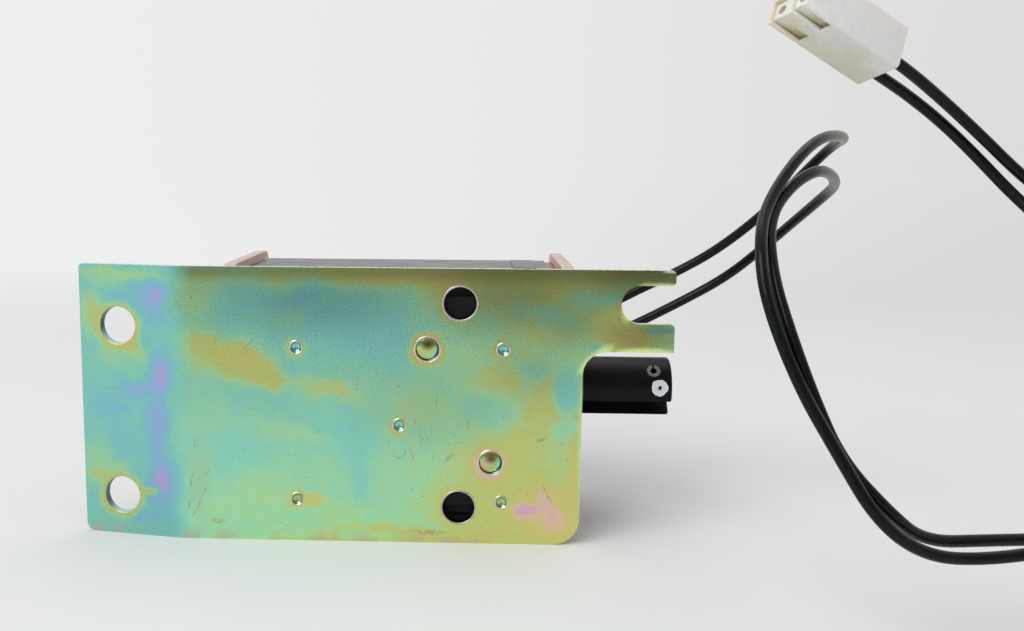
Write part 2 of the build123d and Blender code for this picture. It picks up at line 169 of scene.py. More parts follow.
def start_finish(name):
    """New material with its surface shader; gives both, its tree and the place on the piece."""
    material = bpy.data.materials.new(name)
    material.use_nodes = True
    tree = material.node_tree
    tree.nodes.clear()
    output = tree.nodes.new("ShaderNodeOutputMaterial")
    shader = tree.nodes.new("ShaderNodeBsdfPrincipled")
    tree.links.new(shader.outputs["BSDF"], output.inputs["Surface"])
    return material, tree, shader, in_millimetres(tree)


def feed(tree, node, name, value):
    """Give one input of a node a value, or join another node's output to it."""
    if isinstance(value, bpy.types.NodeSocket):
        tree.links.new(value, node.inputs[name])
    else:
        node.inputs[name].default_value = value


def add(tree, kind, inputs=None, **settings):
    """Add one shader node with its settings and inputs."""
    node = tree.nodes.new("ShaderNode" + kind)
    for name, value in settings.items():
        setattr(node, name, value)
    for name, value in (inputs or {}).items():
        feed(tree, node, name, value)
    return node


def math_of(tree, operation, *values):
    """Output of one maths node."""
    node = add(tree, "Math", dict(enumerate(values)), operation=operation)
    return node.outputs[0]


def times(tree, first, second):
    """Product of two outputs or values."""
    return math_of(tree, "MULTIPLY", first, second)


def mix_colours(tree, share, first, second, blend="MIX"):
    """Output of one colour mix."""
    node = tree.nodes.new("ShaderNodeMix")
    node.data_type = "RGBA"
    node.blend_type = blend
    for place, value in ((0, share), (6, first), (7, second)):
        feed(tree, node, place, value)
    return node.outputs[2]


def apart(tree, vector):
    """Outputs X, Y and Z of a vector."""
    return add(tree, "SeparateXYZ", {0: vector}).outputs


def way_of_surface(tree):
    """Outputs X, Y and Z of the way that the surface faces."""
    return apart(tree, add(tree, "TexCoord").outputs["Normal"])


def highest(tree, values):
    """Highest of some outputs."""
    top = values[0]
    for value in values[1:]:
        top = math_of(tree, "MAXIMUM", top, value)
    return top


def spread(tree, value, low, high, to_low=0.0, to_high=1.0, smooth=False):
    """Map a value from one range to another, held at both ends."""
    node = add(tree, "MapRange", {
        "Value": value, "From Min": low, "From Max": high, "To Min": to_low, "To Max": to_high})
    node.interpolation_type = "SMOOTHSTEP" if smooth else "LINEAR"
    return node.outputs[0]


def in_millimetres(tree):
    """Place on the piece, in millimetres."""
    coords = add(tree, "TexCoord")
    scaled = add(tree, "VectorMath", {0: coords.outputs["Object"], "Scale": 1000.0},
                 operation="SCALE")
    return scaled.outputs[0]


def follow(tree, texture, low, high):
    """Value that runs from low to high as a noise does."""
    return spread(tree, texture, 0.3, 0.7, low, high)


def noise(tree, place, scale, detail=2.0, roughness=0.5, stretch=None):
    """Output of a noise with that many waves per millimetre."""
    if stretch:
        place = add(tree, "Mapping", {"Vector": place, "Scale": stretch}).outputs[0]
    texture = add(tree, "TexNoise", {
        "Vector": place, "Scale": scale, "Detail": detail, "Roughness": roughness})
    return texture.outputs[0]


def ramp(tree, value, stops):
    """Solid colours along a value; each stop is its place and its colour."""
    node = add(tree, "ValToRGB", {0: value})
    band = node.color_ramp
    while len(band.elements) < len(stops):
        band.elements.new(0.5)
    for element, (position, colour) in zip(band.elements, stops):
        element.position = position
        element.color = (*colour[:3], 1.0)
    return node.outputs[0]


def bump(tree, shader, height, depth):
    """Raise the surface by a height, in metres at full value."""
    node = add(tree, "Bump", {"Height": height, "Distance": depth})
    before = shader.inputs["Normal"]
    if before.is_linked:
        tree.links.new(before.links[0].from_socket, node.inputs["Normal"])
    tree.links.new(node.outputs[0], before)


def surface(tree, shader, colour, texture, low, high, depth):
    """Give a shader its colour, and a roughness and a bump that follow a noise."""
    feed(tree, shader, "Base Color", colour)
    feed(tree, shader, "Roughness", follow(tree, texture, low, high))
    bump(tree, shader, texture, depth)


def tinted(colour, red, green, blue):
    """Shader colour made by scaling the three parts of a colour, each held at 1."""
    return (*(min(part * scale, 1.0) for part, scale in zip(colour, (red, green, blue))), 1.0)


# Finishes

# Colours of the plating as its film grows thicker
FILM = [
    (0.0, plain(180, 174, 228)), (0.14, plain(148, 188, 224)), (0.3, plain(134, 200, 212)),
    (0.45, plain(142, 212, 190)), (0.58, plain(168, 218, 168)), (0.71, plain(196, 204, 122)),
    (0.82, plain(208, 198, 126)), (0.92, plain(220, 190, 168)), (1.0, plain(216, 172, 202)),
]

# Solid part of each kind of patch: round it the patch fades out
MAIN_SOLID = 0.16
FLAP_SOLID = 0.1
SHADE_AND_TONE_SOLID = 0.1
MARK_SOLID = 0.3

# How far left and right of the bend the flap's film fades into the main one
FADE_LEFT = 3.4
FADE_RIGHT = 2.6

# Painted shade on the walls of the holes and in the dark pits of the sight holes: reach in
# millimetres, solid part
WALL_SHADE_REACH = 3.9
PIT_SHADE_REACH = 3.4
HOLE_SOLID = 0.93

# Soft patches of the film on the main face and on the flap, laid in this order:
# X, Z, half width, half height, turn in degrees, film, share
MAIN_PATCHES = [
    (-31, 45.6, 9, 8, 0, 0.74, 0.8), (-20, 42, 17, 8.5, 12, 0.4, 0.85),
    (-12.5, 45.5, 6.5, 4.5, 0, 0.34, 0.7), (-14.5, 41.6, 5.5, 3.2, 0, 0.54, 0.6),
    (-2.5, 38.5, 14, 10, 20, 0.4, 0.9), (13, 45.5, 9, 6, 0, 0.68, 0.8),
    (26, 46, 15, 5.5, 0, 0.69, 0.8), (26.5, 43.4, 5.5, 3.4, 0, 0.5, 0.6),
    (31, 38.5, 10, 6, 0, 0.66, 0.8), (39.2, 45.4, 7, 4, 0, 0.5, 0.7),
    (43, 40.5, 9, 6, 0, 0.77, 0.8), (30.5, 41.4, 3.8, 3, 0, 0.45, 0.7),
    (45.2, 38.2, 3.8, 2.4, 0, 0.84, 0.7), (39.5, 36.7, 4.6, 1.7, 0, 0.45, 0.7),
    (49.5, 37.4, 4.6, 2.2, 0, 0.7, 0.6), (-27, 33.4, 14.5, 5, 13, 0.74, 0.95),
    (-33.6, 35.4, 8.5, 5.8, 0, 0.69, 0.9), (-19.5, 31, 7, 3.4, 12, 0.76, 0.9),
    (-9.5, 28.2, 9.5, 3.4, 14, 0.67, 0.85), (-31.5, 26, 5.5, 8.5, 0, 0.54, 0.7),
    (-22, 25.8, 10, 4, 6, 0.44, 0.7), (-15, 20.6, 11, 2.8, 12, 0.6, 0.75),
    (-25, 16.5, 10.5, 6.5, 0, 0.42, 0.8), (-9, 23, 6.5, 4, 0, 0.43, 0.6),
    (-22, 6.5, 15, 5.5, 0, 0.6, 0.8), (-11.8, 8, 4.4, 1.9, 10, 0.76, 0.85),
    (-5, 19, 6.5, 7.5, 0, 0.41, 0.85), (-3.2, 11.8, 3.2, 4.4, 0, 0.36, 0.6),
    (-7, 4.8, 9, 4.4, 0, 0.64, 0.7), (4, 12, 7.5, 8.5, 0, 0.53, 0.7),
    (8, 24.5, 9.5, 6.5, 25, 0.63, 0.85), (21.5, 23.8, 9.5, 5.2, 10, 0.52, 0.95),
    (17.6, 26, 4.6, 3.2, 0, 0.48, 0.7), (21.5, 29.8, 6.4, 4.8, 20, 0.69, 0.9),
    (28, 32.2, 4.4, 2, 14, 0.47, 0.85), (30.2, 25.6, 5, 7, 0, 0.71, 0.8),
    (34.2, 28.4, 2.8, 6, 0, 0.38, 0.85), (33.6, 21.5, 2.4, 3.6, 0, 0.5, 0.7),
    (24, 14, 15, 9, 0, 0.7, 0.9), (14, 8, 10, 6.5, 0, 0.68, 0.8),
    (29.5, 6.4, 7.5, 7.5, 0, 0.87, 0.8), (30.4, 7.4, 4, 8.5, -18, 0.94, 0.85),
    (26.3, 6.2, 3.2, 3, 0, 1, 0.9), (35, 10, 1.7, 13, 0, 0.88, 0.6),
    (6, 1.9, 34, 1.8, 0, 0.76, 0.7), (8, 49.2, 60, 4.2, 0, 0.74, 0.95),
]
FLAP_PATCHES = [
    (-46, 48.2, 13, 1.9, 0, 0.64, 0.85), (-50, 46.4, 5.5, 2.2, 12, 0.6, 0.7),
    (-42.5, 44, 8.5, 4, 0, 0.2, 0.6), (-40.3, 45.2, 4.2, 3.2, 0, 0.04, 0.95),
    (-39.2, 40.8, 3.6, 3.6, 0, 0.2, 0.6), (-52.2, 40.4, 4.4, 5.8, 0, 0.7, 1),
    (-46, 35.2, 6.8, 3.4, 8, 0.71, 1), (-43.6, 37.6, 2.8, 3.8, 0, 0.7, 0.85),
    (-48.5, 32.6, 5.5, 3.2, 0, 0.57, 0.7), (-41.2, 37.2, 2.4, 3.4, 0, 0.36, 0.7),
    (-39.7, 30.5, 3.8, 4.8, 0, 0, 1), (-44.5, 28.2, 5.2, 2.8, 0, 0.1, 0.9),
    (-40.2, 21, 3.8, 10, 0, 0.1, 0.95), (-39.7, 10.2, 4.2, 6.6, 0, 0, 1),
    (-49, 24, 5.4, 3.8, 0, 0.25, 0.7), (-47.5, 18.4, 6.5, 3.4, 0, 0.37, 0.6),
    (-51.6, 15, 4, 5.5, 0, 0.6, 0.8), (-50, 11.4, 5, 3.4, -20, 0.7, 0.8),
    (-42.3, 8.7, 3.2, 1.4, 24, 0.72, 1), (-44, 3.8, 6.5, 2.4, 0, 0.2, 0.7),
    (-50, 4, 4.5, 3, 0, 0.44, 0.6), (-36.7, 9, 2, 10, 0, 0.26, 0.8),
]

# Painted reflections on the rolled edges, their film colour and then their painted brightness,
# mostly highlights and one darker line:
# X, Z, half width, half height, turn, target, share, solid part
EDGE_REFLECTION_FILM = [
    (47.5, 35, 8.5, 1.9, 0, 0.66, 0.9, 0.45), (38.8, 34.3, 4.8, 1.6, -41, 0.7, 0.9, 0.5),
    (37, 19, 1.3, 15.5, 0, 0.68, 0.85, 0.4), (50, 46.8, 5.2, 1.4, 0, 0.65, 0.9, 0.5),
    (46, 46, 3.2, 1.1, -40, 0.68, 0.8, 0.4), (44, 43, 1, 2.6, 0, 0.72, 0.8, 0.4),
    (10, 0.4, 46, 1.2, 0, 0.72, 0.8, 0.4), (49.6, 39.6, 4.4, 0.9, 0, 0.42, 0.6, 0.3),
]
EDGE_LIGHT_AND_SHADE = [
    (47.5, 35, 8.6, 1.9, 0, 1.75, 0.9, 0.45), (38.8, 34.3, 4.8, 1.6, -41, 1.5, 0.9, 0.5),
    (37, 19, 1.3, 15.5, 0, 1.3, 0.8, 0.4), (50, 46.8, 5.4, 1.4, 0, 1.7, 0.9, 0.4),
    (46, 46, 3.4, 1.5, -40, 1.25, 0.9, 0.4), (44, 43, 1.3, 3, 0, 1.3, 0.8, 0.4),
    (49.6, 39.7, 5, 1.3, 0, 0.42, 0.8, 0.3),
]

# Glints at the fork's tips: X, Z, half width, half height, turn
GLINTS = [(52.9, 39.1, 0.7, 0.5, 20), (51.5, 49.8, 2.2, 0.35, 0)]

# Painted shade on the plating, partly the film's own darker tone: X, Z, half width, half height,
# turn, brightness, share
SHADE_AND_TONE_PATCHES = [
    (24, 47, 20, 14, 0, 0.4, 0.9), (46, 49, 16, 8, 0, 0.34, 0.95), (47, 38.6, 11, 5, 0, 0.48, 0.8),
    (34, 42, 9, 9, 0, 0.5, 0.8), (28, 33, 12, 9, 0, 0.72, 0.8), (-10, 44, 22, 7, 0, 0.5, 0.6),
    (10, 26, 20, 12, 0, 0.84, 0.8),
]

# Column beside the bend where the film is rubbed: X, Z, half width, half height
RUBBED_COLUMN = (-32.4, 11, 3, 11)

# Halo round each kind of mark: its places, inner radius, width, film, share
HALOS = [
    (SIGHT_HOLES, 2.9, 1.8, 0.8, 0.6), (FLAP_HOLES, 3.4, 2.0, 0.75, 0.9),
    (DENTS, 1.2, 1.3, 0.78, 0.6), (BOSSES, 2.3, 1.6, 0.96, 0.85),
]

# Scratches: X, Z, half width, half height, lean in degrees
SCRATCHES = [
    (9.5, 20.7, 0.16, 2.6, 3), (6.6, 22.4, 0.2, 1, -8), (8.6, 19.6, 0.16, 1.2, 0),
    (10, 16.1, 0.14, 1.2, 4), (14.4, 21.7, 0.15, 1.1, -10), (16.1, 22, 0.26, 1.4, 8),
    (13.7, 19.9, 0.2, 0.7, -28), (12.5, 18.6, 0.14, 0.8, -16), (12.7, 15.9, 0.62, 1.8, 35),
    (1.9, 18.6, 0.13, 2.2, 8), (5.9, 16.6, 0.3, 2.2, -22), (5, 16.8, 0.24, 1.8, 26),
    (3.5, 15.7, 0.34, 1.4, -72), (-3.6, 29.2, 0.26, 1.6, 0), (-1.3, 35.3, 0.15, 1.4, 20),
    (1.4, 30.1, 0.24, 0.7, 60), (3.5, 28.8, 0.26, 0.9, 65), (0, 30.9, 0.14, 1.8, 60),
    (-23, 36.4, 0.11, 4.8, 38), (-22.6, 24.5, 0.12, 3, -84), (-33.4, 17.6, 0.3, 1.7, 26),
    (-34, 10.9, 0.34, 2.6, 20), (-33.2, 5.8, 0.34, 2.6, 28), (-31.9, 8.6, 0.22, 2, 24),
    (-34.4, 6.6, 0.24, 1.6, 12), (-31, 12.6, 0.2, 1.6, 18), (-49.5, 27.3, 0.14, 3, 84),
    (-50.5, 22, 0.14, 2.8, 72), (-29.3, 3.4, 0.7, 2.4, 84), (11.5, 28.6, 0.16, 2.6, -6),
    (10.4, 26.2, 0.14, 2.2, 2), (7.6, 20, 0.14, 3.4, -2), (29.2, 19.6, 0.5, 1.8, 62),
    (9, 2, 0.6, 5, 90), (30.6, 9.6, 0.3, 3.8, -24),
]


def patch(tree, place, x, z, half_width, half_height, turn=0.0, solid=0.0, share=1.0):
    """Soft oval on the plate's front: its share in its middle, 0 outside."""
    mapping = add(tree, "Mapping", {
        "Vector": place, "Location": (x, 0.0, z), "Rotation": (0.0, math.radians(turn), 0.0),
        "Scale": (half_width, 1000.0, half_height)}, vector_type="TEXTURE")
    length = add(tree, "VectorMath", {0: mapping.outputs[0]}, operation="LENGTH")
    return spread(tree, length.outputs["Value"], solid, 1.0, share, 0.0, smooth=True)


def toward(tree, share, value, target):
    """Move a value a share of the way to a target."""
    node = tree.nodes.new("ShaderNodeMix")
    for place, item in ((0, share), (2, value), (3, target)):
        feed(tree, node, place, item)
    return node.outputs[0]


def patched(tree, place, value, patches):
    """Lay soft ovals over a value, one on the other; each shifts a little with those below."""
    for x, z, half_width, half_height, turn, target, share, solid in patches:
        shifted = add(tree, "VectorMath", {0: value, 1: (0.3, 0.0, 0.3), 2: place},
                      operation="MULTIPLY_ADD").outputs[0]
        soft = patch(tree, shifted, x, z, half_width, half_height, turn, solid, share)
        value = toward(tree, soft, value, target)
    return value


def bare(tree):
    """Output that is 0 everywhere, to lay patches over."""
    return add(tree, "Value").outputs[0]


def pushed(tree, place, scale, detail, reach):
    """Move places about by a noise, so that no patch has a ruled edge."""
    drift = add(tree, "TexNoise", {"Vector": place, "Scale": scale, "Detail": detail})
    push = add(tree, "VectorMath", {
        0: drift.outputs["Color"], 1: (0.5, 0.5, 0.5)}, operation="SUBTRACT")
    wide = add(tree, "VectorMath", {0: push.outputs[0], "Scale": reach}, operation="SCALE")
    return add(tree, "VectorMath", {0: place, 1: wide.outputs[0]}).outputs[0]


def plating(settings):
    """Yellow zinc plating: an iridescent film over satin steel, thicker round every mark."""
    material, tree, shader, place = start_finish("yellow_zinc")
    warped = pushed(tree, place, 0.12, 5.0, 7.5)
    nudged = pushed(tree, place, 0.5, 2.0, 1.4)
    right, _, height = apart(tree, place)
    up = apart(tree, warped)["Z"]
    normal = way_of_surface(tree)
    facing = math_of(tree, "ABSOLUTE", normal["Y"])

    # Film on the main face and on the flap, then the halos round each mark
    main = spread(tree, up, 4.0, 30.0, 0.55, 0.47)
    main = math_of(tree, "ADD", main, spread(tree, right, 2.0, 24.0, 0.0, 0.15, smooth=True))
    main = patched(tree, warped, main, [(*row, MAIN_SOLID) for row in MAIN_PATCHES])
    side = spread(tree, up, 0.0, 50.0, 0.4, 0.42)
    side = patched(tree, warped, side, [(*row, FLAP_SOLID) for row in FLAP_PATCHES])
    flap = spread(tree, apart(tree, warped)["X"], BEND_X - FADE_LEFT, BEND_X + FADE_RIGHT,
                  1.0, 0.0, smooth=True)
    film = toward(tree, flap, main, side)
    film = patched(tree, nudged, film, [
        (x, z, radius + width, radius + width, 0, target, share, radius / (radius + width))
        for places, radius, width, target, share in HALOS for x, z in places])
    film = patched(tree, place, film, EDGE_REFLECTION_FILM)
    broad = noise(tree, place, 0.07, 3.0, 0.55)
    film = math_of(tree, "ADD", film, follow(tree, broad, -0.045, 0.045))
    fine = noise(tree, place, 0.55, 4.0, 0.65)
    film = math_of(tree, "ADD", film, follow(tree, fine, -0.035, 0.035))
    film = math_of(tree, "ADD", film, spread(tree, facing, 0.5, 0.98, 0.2, 0.0))
    colour = ramp(tree, film, FILM)

    # Painted shade and light: darker and speckled under the top edge (painted shade, partly the
    # film's own darker tone), brighter toward the bottom and on the flap, with painted highlights
    # at the rolled edges
    shade = spread(tree, up, 22.0, 40.0, 1.0, settings.top_shade)
    shade = times(tree, shade, spread(tree, up, 2.0, 24.0, 1.2, 1.02))
    shade = times(tree, shade, spread(tree, up, 36.0, 49.0, 1.0, 0.72))
    shade = patched(tree, place, shade, [(*row, SHADE_AND_TONE_SOLID) for row in SHADE_AND_TONE_PATCHES])
    shade = toward(tree, flap, shade, 1.14)
    # Painted shade in a band just under the top edge
    top_edge_shade = spread(tree, height, 46.6, 49.4, 1.0, 0.66, smooth=True)
    top_edge_shade = toward(tree, flap, top_edge_shade, 0.85)
    shade = times(tree, shade, top_edge_shade)
    shade = patched(tree, place, shade, EDGE_LIGHT_AND_SHADE)
    speckle = noise(tree, place, 3.4, 3.0, 0.75)
    upper = spread(tree, up, 24.0, 38.0, 0.16, 1.0, smooth=True)
    upper = times(tree, upper, spread(tree, flap, 0.0, 1.0, 1.0, 0.3))
    grain = times(tree, math_of(tree, "SUBTRACT", speckle, 0.5), upper)
    grain = math_of(tree, "MULTIPLY_ADD", grain, settings.grain * 4.0, 1.0)
    shade = times(tree, shade, grain)
    shades = add(tree, "CombineXYZ", {0: shade, 1: shade, 2: shade}).outputs[0]
    colour = mix_colours(tree, 1.0, colour, shades, "MULTIPLY")

    # Scratches, worn foot, glints, rubbed column and specks of dirt
    marks = patched(tree, nudged, bare(tree), [
        (*row, 1.0, 1.0, MARK_SOLID) for row in SCRATCHES])
    marks = times(tree, marks, spread(tree, noise(tree, place, 1.9, 3.0, 0.7), 0.38, 0.56))
    colour = mix_colours(tree, times(tree, marks, 0.5), colour, plain(158, 140, 128))
    worn = times(tree, spread(tree, height, 0.4, 2.6, 1.0, 0.0),
                 spread(tree, noise(tree, place, 0.3, 3.0), 0.46, 0.6))
    colour = mix_colours(tree, times(tree, worn, 0.55), colour, plain(206, 184, 168))
    glint = patched(tree, place, bare(tree), [
        (*row, 1.0, 0.8, MARK_SOLID) for row in GLINTS])
    colour = mix_colours(tree, glint, colour, plain(220, 244, 236))
    rubbed = patch(tree, nudged, *RUBBED_COLUMN)
    rubbed = times(tree, rubbed, spread(tree, speckle, 0.35, 0.6))
    colour = mix_colours(tree, times(tree, rubbed, 0.5), colour, plain(186, 184, 164))
    dirt = spread(tree, noise(tree, place, 1.9, 2.0, 0.4), 0.72, 0.78)
    colour = mix_colours(tree, times(tree, dirt, 0.45), colour, plain(92, 84, 66))

    # Sheared edges, with painted light: a painted highlight on top, a painted yellow reflection
    # below, painted shade inside the holes and darker painted shade in the sight holes
    streaks = noise(tree, place, 1.3, 3.0, 0.65, stretch=(1.0, 0.3, 1.0))
    lit_top_edges = ramp(tree, streaks, [
        (0.34, plain(96, 90, 82)), (0.43, plain(206, 206, 200)), (0.6, plain(238, 240, 240)),
        (0.75, plain(214, 196, 196))])
    below = ramp(tree, streaks, [
        (0.3, plain(176, 190, 96)), (0.5, plain(214, 222, 140)), (0.7, plain(190, 226, 196))])
    edge_streaks_and_light = mix_colours(tree, spread(tree, normal["Z"], -0.5, 0.0, 1.0, 0.0), lit_top_edges, below)
    shaded_walls = highest(tree, [patch(tree, place, x, z, WALL_SHADE_REACH, WALL_SHADE_REACH, 0.0, HOLE_SOLID)
                           for x, z in FLAP_HOLES + SIGHT_HOLES])
    wall_shade_colour = ramp(tree, spread(tree, normal["Z"], -1.0, 1.0), [
        (0.0, plain(70, 120, 112)), (0.5, plain(96, 160, 160)), (1.0, plain(176, 206, 214))])
    edge_streaks_and_light = mix_colours(tree, shaded_walls, edge_streaks_and_light, wall_shade_colour)
    for x, z in SIGHT_HOLES:
        pit_shade = patch(tree, place, x, z, PIT_SHADE_REACH, PIT_SHADE_REACH, 0.0, HOLE_SOLID)
        edge_streaks_and_light = mix_colours(tree, pit_shade, edge_streaks_and_light, (0.01, 0.01, 0.011, 1.0))
    edge = spread(tree, facing, 0.35, 0.82, 1.0, 0.0)
    colour = mix_colours(tree, edge, colour, edge_streaks_and_light)
    feed(tree, shader, "Base Color", colour)
    shader.inputs["Metallic"].default_value = 0.85
    matt = follow(tree, fine, 0.32, 0.42)
    matt = math_of(tree, "MULTIPLY_ADD", upper, 0.06, matt)
    feed(tree, shader, "Roughness", math_of(tree, "MULTIPLY_ADD", marks, 0.2, matt))
    bump(tree, shader, speckle, 0.000012)
    bump(tree, shader, broad, 0.0003)
    bump(tree, shader, math_of(tree, "SUBTRACT", 1.0, marks), 0.00001)
    return material


def depth_of(tree):
    """How far a point lies behind the plate's front, in millimetres."""
    return math_of(tree, "SUBTRACT", apart(tree, in_millimetres(tree))["Y"], PLATE_FRONT_Y)


def dent_plating():
    """Plating in the small dents: bright rim, then painted shade and light by depth: a dark ring,
    then film down to a dark point.
    """
    material, tree, shader, place = start_finish("dent_zinc")
    film = spread(tree, apart(tree, place)["Z"], 6.0, 32.0, 0.66, 0.4)
    film = math_of(tree, "ADD", film, follow(tree, noise(tree, place, 1.4, 3.0), -0.16, 0.16))
    colour = ramp(tree, film, FILM)
    depth = spread(tree, depth_of(tree), -0.1, 0.5)
    dent_light_and_shade = ramp(tree, depth, [
        (0.0, (0.95, 0.96, 0.95)), (0.2, (0.9, 0.92, 0.9)), (0.26, (0.1, 0.14, 0.13)),
        (0.36, (0.2, 0.34, 0.32)), (0.48, (0.9, 0.95, 0.92)), (0.78, (1.0, 1.0, 1.0)),
        (0.88, (0.05, 0.05, 0.04))])
    rim = spread(tree, depth, 0.2, 0.24, 1.0, 0.0)
    colour = mix_colours(tree, 1.0, colour, dent_light_and_shade, "MULTIPLY")
    colour = mix_colours(tree, rim, colour, plain(206, 208, 200))
    feed(tree, shader, "Base Color", colour)
    shader.inputs["Metallic"].default_value = 1.0
    feed(tree, shader, "Roughness", follow(tree, noise(tree, place, 5.0), 0.12, 0.24))
    bump(tree, shader, noise(tree, place, 3.0, 3.0), 0.00002)
    return material


def boss_plating():
    """Plating in the pushed-through bosses: bright rim, a groove painted black as shade, and a
    rainbow dome with painted shade over its top.
    """
    material, tree, shader, place = start_finish("boss_zinc")
    film = follow(tree, noise(tree, place, 0.9, 3.0), 0.6, 0.74)
    dome_top_shade = []
    for (x, z), warm in zip(BOSSES, (0.72, 0.97)):
        for across, rise, wide, high, target in (
                (-0.9, 0.0, 2.2, 2.2, warm), (1.8, 0.2, 1.1, 2.2, 0.45),
                (0.3, -1.5, 1.6, 1.0, 0.62), (1.4, -1.2, 0.9, 0.9, 0.3),
                (-1.5, 0.9, 0.9, 1.1, 0.4), (0.2, 1.6, 1.4, 0.8, 0.9)):
            soft = patch(tree, place, x + across, z + rise, wide, high, 0.0, 0.0, 0.9)
            film = toward(tree, soft, film, target)
        dome_top_shade.append(patch(tree, place, x + 0.1, z + 0.75, 1.9, 1.35, 0.0, 0.1, 0.85))
    colour = ramp(tree, film, FILM)
    # Painted shade: darker over the top of each dome
    colour = mix_colours(tree, highest(tree, dome_top_shade), colour, plain(58, 50, 34))
    depth = depth_of(tree)
    # Painted shade: the groove black
    groove = spread(tree, depth, 0.38, 0.44)
    colour = mix_colours(tree, groove, colour, (0.006, 0.007, 0.006, 1.0))
    colour = mix_colours(tree, spread(tree, depth, -0.02, 0.02, 1.0, 0.0), colour,
                         plain(228, 226, 222))
    feed(tree, shader, "Base Color", colour)
    shader.inputs["Metallic"].default_value = 1.0
    feed(tree, shader, "Roughness", follow(tree, noise(tree, place, 4.0), 0.1, 0.2))
    bump(tree, shader, noise(tree, place, 2.2, 3.0), 0.00002)
    return material


def metal(name, stops, roughness, fine=1.6, metallic=1.0, spots=None, gloss=0.5):
    """Worked metal: its colours run along a noise, under stains where spots have a colour."""
    material, tree, shader, place = start_finish(name)
    grain = noise(tree, place, fine, 4.0, 0.6)
    colour = ramp(tree, grain, stops)
    if spots:
        stain = spread(tree, noise(tree, place, 0.35, 4.0, 0.65), 0.52, 0.66)
        colour = mix_colours(tree, times(tree, stain, 0.6), colour, spots)
    shader.inputs["Metallic"].default_value = metallic
    shader.inputs["Specular IOR Level"].default_value = gloss
    surface(tree, shader, colour, grain, *roughness, 0.00001)
    return material


def moulded(name, stops, roughness, fine=2.0, glow=0.0):
    """Plastic, rubber, paper or paint, with faint mottling and a fine skin."""
    material, tree, shader, place = start_finish(name)
    cloud = noise(tree, place, 0.12, 3.0)
    skin = noise(tree, place, fine, 3.0, 0.6)
    mottle = math_of(tree, "MULTIPLY_ADD", skin, 0.35, times(tree, cloud, 0.65))
    colour = ramp(tree, mottle, stops)
    surface(tree, shader, colour, skin, *roughness, 0.00002)
    if glow:
        shader.inputs["Subsurface Weight"].default_value = glow
        shader.inputs["Subsurface Scale"].default_value = 0.002
    return material


def fibre_board(colour):
    """Pressed fibre: pinkish, with cut fibres and paler clouds."""
    material, tree, shader, place = start_finish("fibre_board")
    threads = noise(tree, place, 1.1, 4.0, 0.7, stretch=(3.0, 0.6, 1.0))
    cloud = noise(tree, place, 0.15, 3.0)
    base = ramp(tree, threads, [
        (0.3, tinted(colour, 0.8, 0.72, 0.68)), (0.5, colour),
        (0.72, tinted(colour, 1.15, 1.2, 1.25))])
    base = mix_colours(tree, spread(tree, cloud, 0.4, 0.65, 0.0, 0.4), base, plain(206, 178, 160))
    surface(tree, shader, base, threads, 0.6, 0.8, 0.00005)
    return material


def black_tape():
    """Black coil tape: a fine ribbed film, slightly creased, matt toward the plate."""
    material, tree, shader, place = start_finish("coil_tape_film")
    ribs = noise(tree, place, 1.3, 2.0, 0.5, stretch=(4.0, 0.3, 0.3))
    creases = noise(tree, place, 0.22, 4.0, 0.6, stretch=(1.0, 1.0, 1.6))
    colour = ramp(tree, creases, [
        (0.3, (0.0012, 0.0012, 0.0014)), (0.55, (0.0024, 0.0024, 0.0026)),
        (0.75, (0.005, 0.005, 0.0052))])
    feed(tree, shader, "Base Color", colour)
    shader.inputs["Specular IOR Level"].default_value = 0.26
    matt = spread(tree, way_of_surface(tree)["Y"], -0.95, -0.6, 0.8, 0.0)
    gloss = follow(tree, creases, 0.2, 0.28)
    feed(tree, shader, "Roughness", math_of(tree, "ADD", gloss, matt))
    bump(tree, shader, ribs, 0.00002)
    bump(tree, shader, creases, 0.00009)
    return material


def turned_black():
    """Blackened turned steel: faint rings along the plunger and cloudy wear."""
    material, tree, shader, place = start_finish("blackened_steel")
    rings = noise(tree, place, 5.0, 2.0, 0.5, stretch=(1.0, 0.02, 0.02))
    cloud = noise(tree, place, 0.3, 4.0, 0.6, stretch=(0.4, 1.0, 1.0))
    colour = ramp(tree, cloud, [
        (0.3, (0.0022, 0.0022, 0.0024)), (0.6, (0.005, 0.0054, 0.0052)),
        (0.8, (0.012, 0.012, 0.011))])
    feed(tree, shader, "Base Color", colour)
    shader.inputs["Specular IOR Level"].default_value = 0.16
    feed(tree, shader, "Roughness", follow(tree, cloud, 0.3, 0.44))
    bump(tree, shader, rings, 0.00001)
    return material


def lead_cover(colour):
    """Black lead cover: extruded and satin, a little dusty, with a painted grey highlight at its
    tight turns.
    """
    material, tree, shader, place = start_finish("lead_cover")
    dust = noise(tree, place, 1.8, 4.0, 0.7)
    base = ramp(tree, dust, [
        (0.35, tinted(colour, 0.7, 0.7, 0.7)), (0.6, colour),
        (0.8, (0.009, 0.009, 0.0088))])
    # Painted grey highlight round each tight turn
    for turn in HIGHLIT_TURNS:
        far = add(tree, "VectorMath", {0: place, 1: turn}, operation="DISTANCE")
        near = spread(tree, far.outputs["Value"], 2.0, 11.0, 0.6, 0.0, smooth=True)
        base = mix_colours(tree, near, base, plain(154, 153, 147))
    feed(tree, shader, "Base Color", base)
    shader.inputs["Specular IOR Level"].default_value = 0.22
    feed(tree, shader, "Roughness", follow(tree, dust, 0.22, 0.34))
    bump(tree, shader, noise(tree, place, 0.8, 3.0), 0.00006)
    return material


